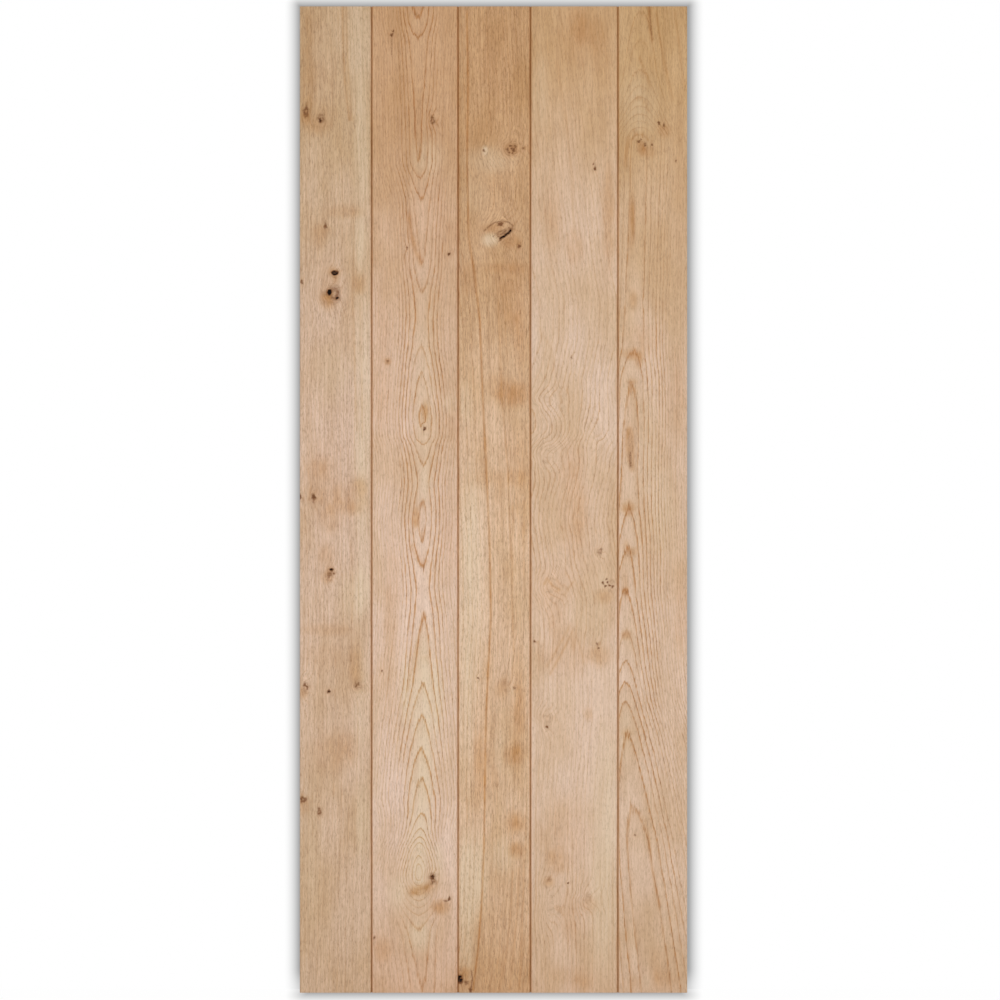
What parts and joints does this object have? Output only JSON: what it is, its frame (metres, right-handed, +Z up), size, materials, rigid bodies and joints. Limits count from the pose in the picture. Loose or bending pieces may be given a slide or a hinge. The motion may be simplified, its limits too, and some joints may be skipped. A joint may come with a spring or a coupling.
{
  "type": "ledged and braced door",
  "caption": "Solid oak door leaf of tongued, grooved and V-jointed boards in random widths, held at the back by bevelled ledges and notched diagonal braces.",
  "frame": {"origin": "bottom centre of the leaf's box, midway through its whole thickness", "axes": "+Z up the leaf; -Y out of the boarded front, +Y out of the ledged back; -X out of the hinge edge"},
  "size_m": [0.778, 0.042, 1.981],
  "materials": {
    "board_1_oak": "planed oak with a clear matt oil",
    "board_2_oak": "planed oak with a clear matt oil",
    "board_3_oak": "planed oak with a clear matt oil",
    "board_4_oak": "planed oak with a clear matt oil",
    "board_5_oak": "planed oak with a clear matt oil",
    "ledge_oak": "planed oak with a clear matt oil",
    "brace_oak": "planed oak with a clear matt oil",
    "plug_oak": "oak plugs pared flush",
    "screw_steel": "zinc-plated steel"
  },
  "bodies": {
    "root": {"board_1": "board_1_oak", "board_2": "board_2_oak", "board_3": "board_3_oak", "board_4": "board_4_oak", "board_5": "board_5_oak", "top_ledge": "ledge_oak", "middle_ledge": "ledge_oak", "bottom_ledge": "ledge_oak", "upper_brace": "brace_oak", "lower_brace": "brace_oak", "top_ledge_screws": "screw_steel", "middle_ledge_screws": "screw_steel", "bottom_ledge_screws": "screw_steel", "upper_brace_screws": "screw_steel", "lower_brace_screws": "screw_steel", "top_ledge_plugs": "plug_oak", "middle_ledge_plugs": "plug_oak", "bottom_ledge_plugs": "plug_oak", "upper_brace_plugs": "plug_oak", "lower_brace_plugs": "plug_oak"}
  },
  "joints": []
}
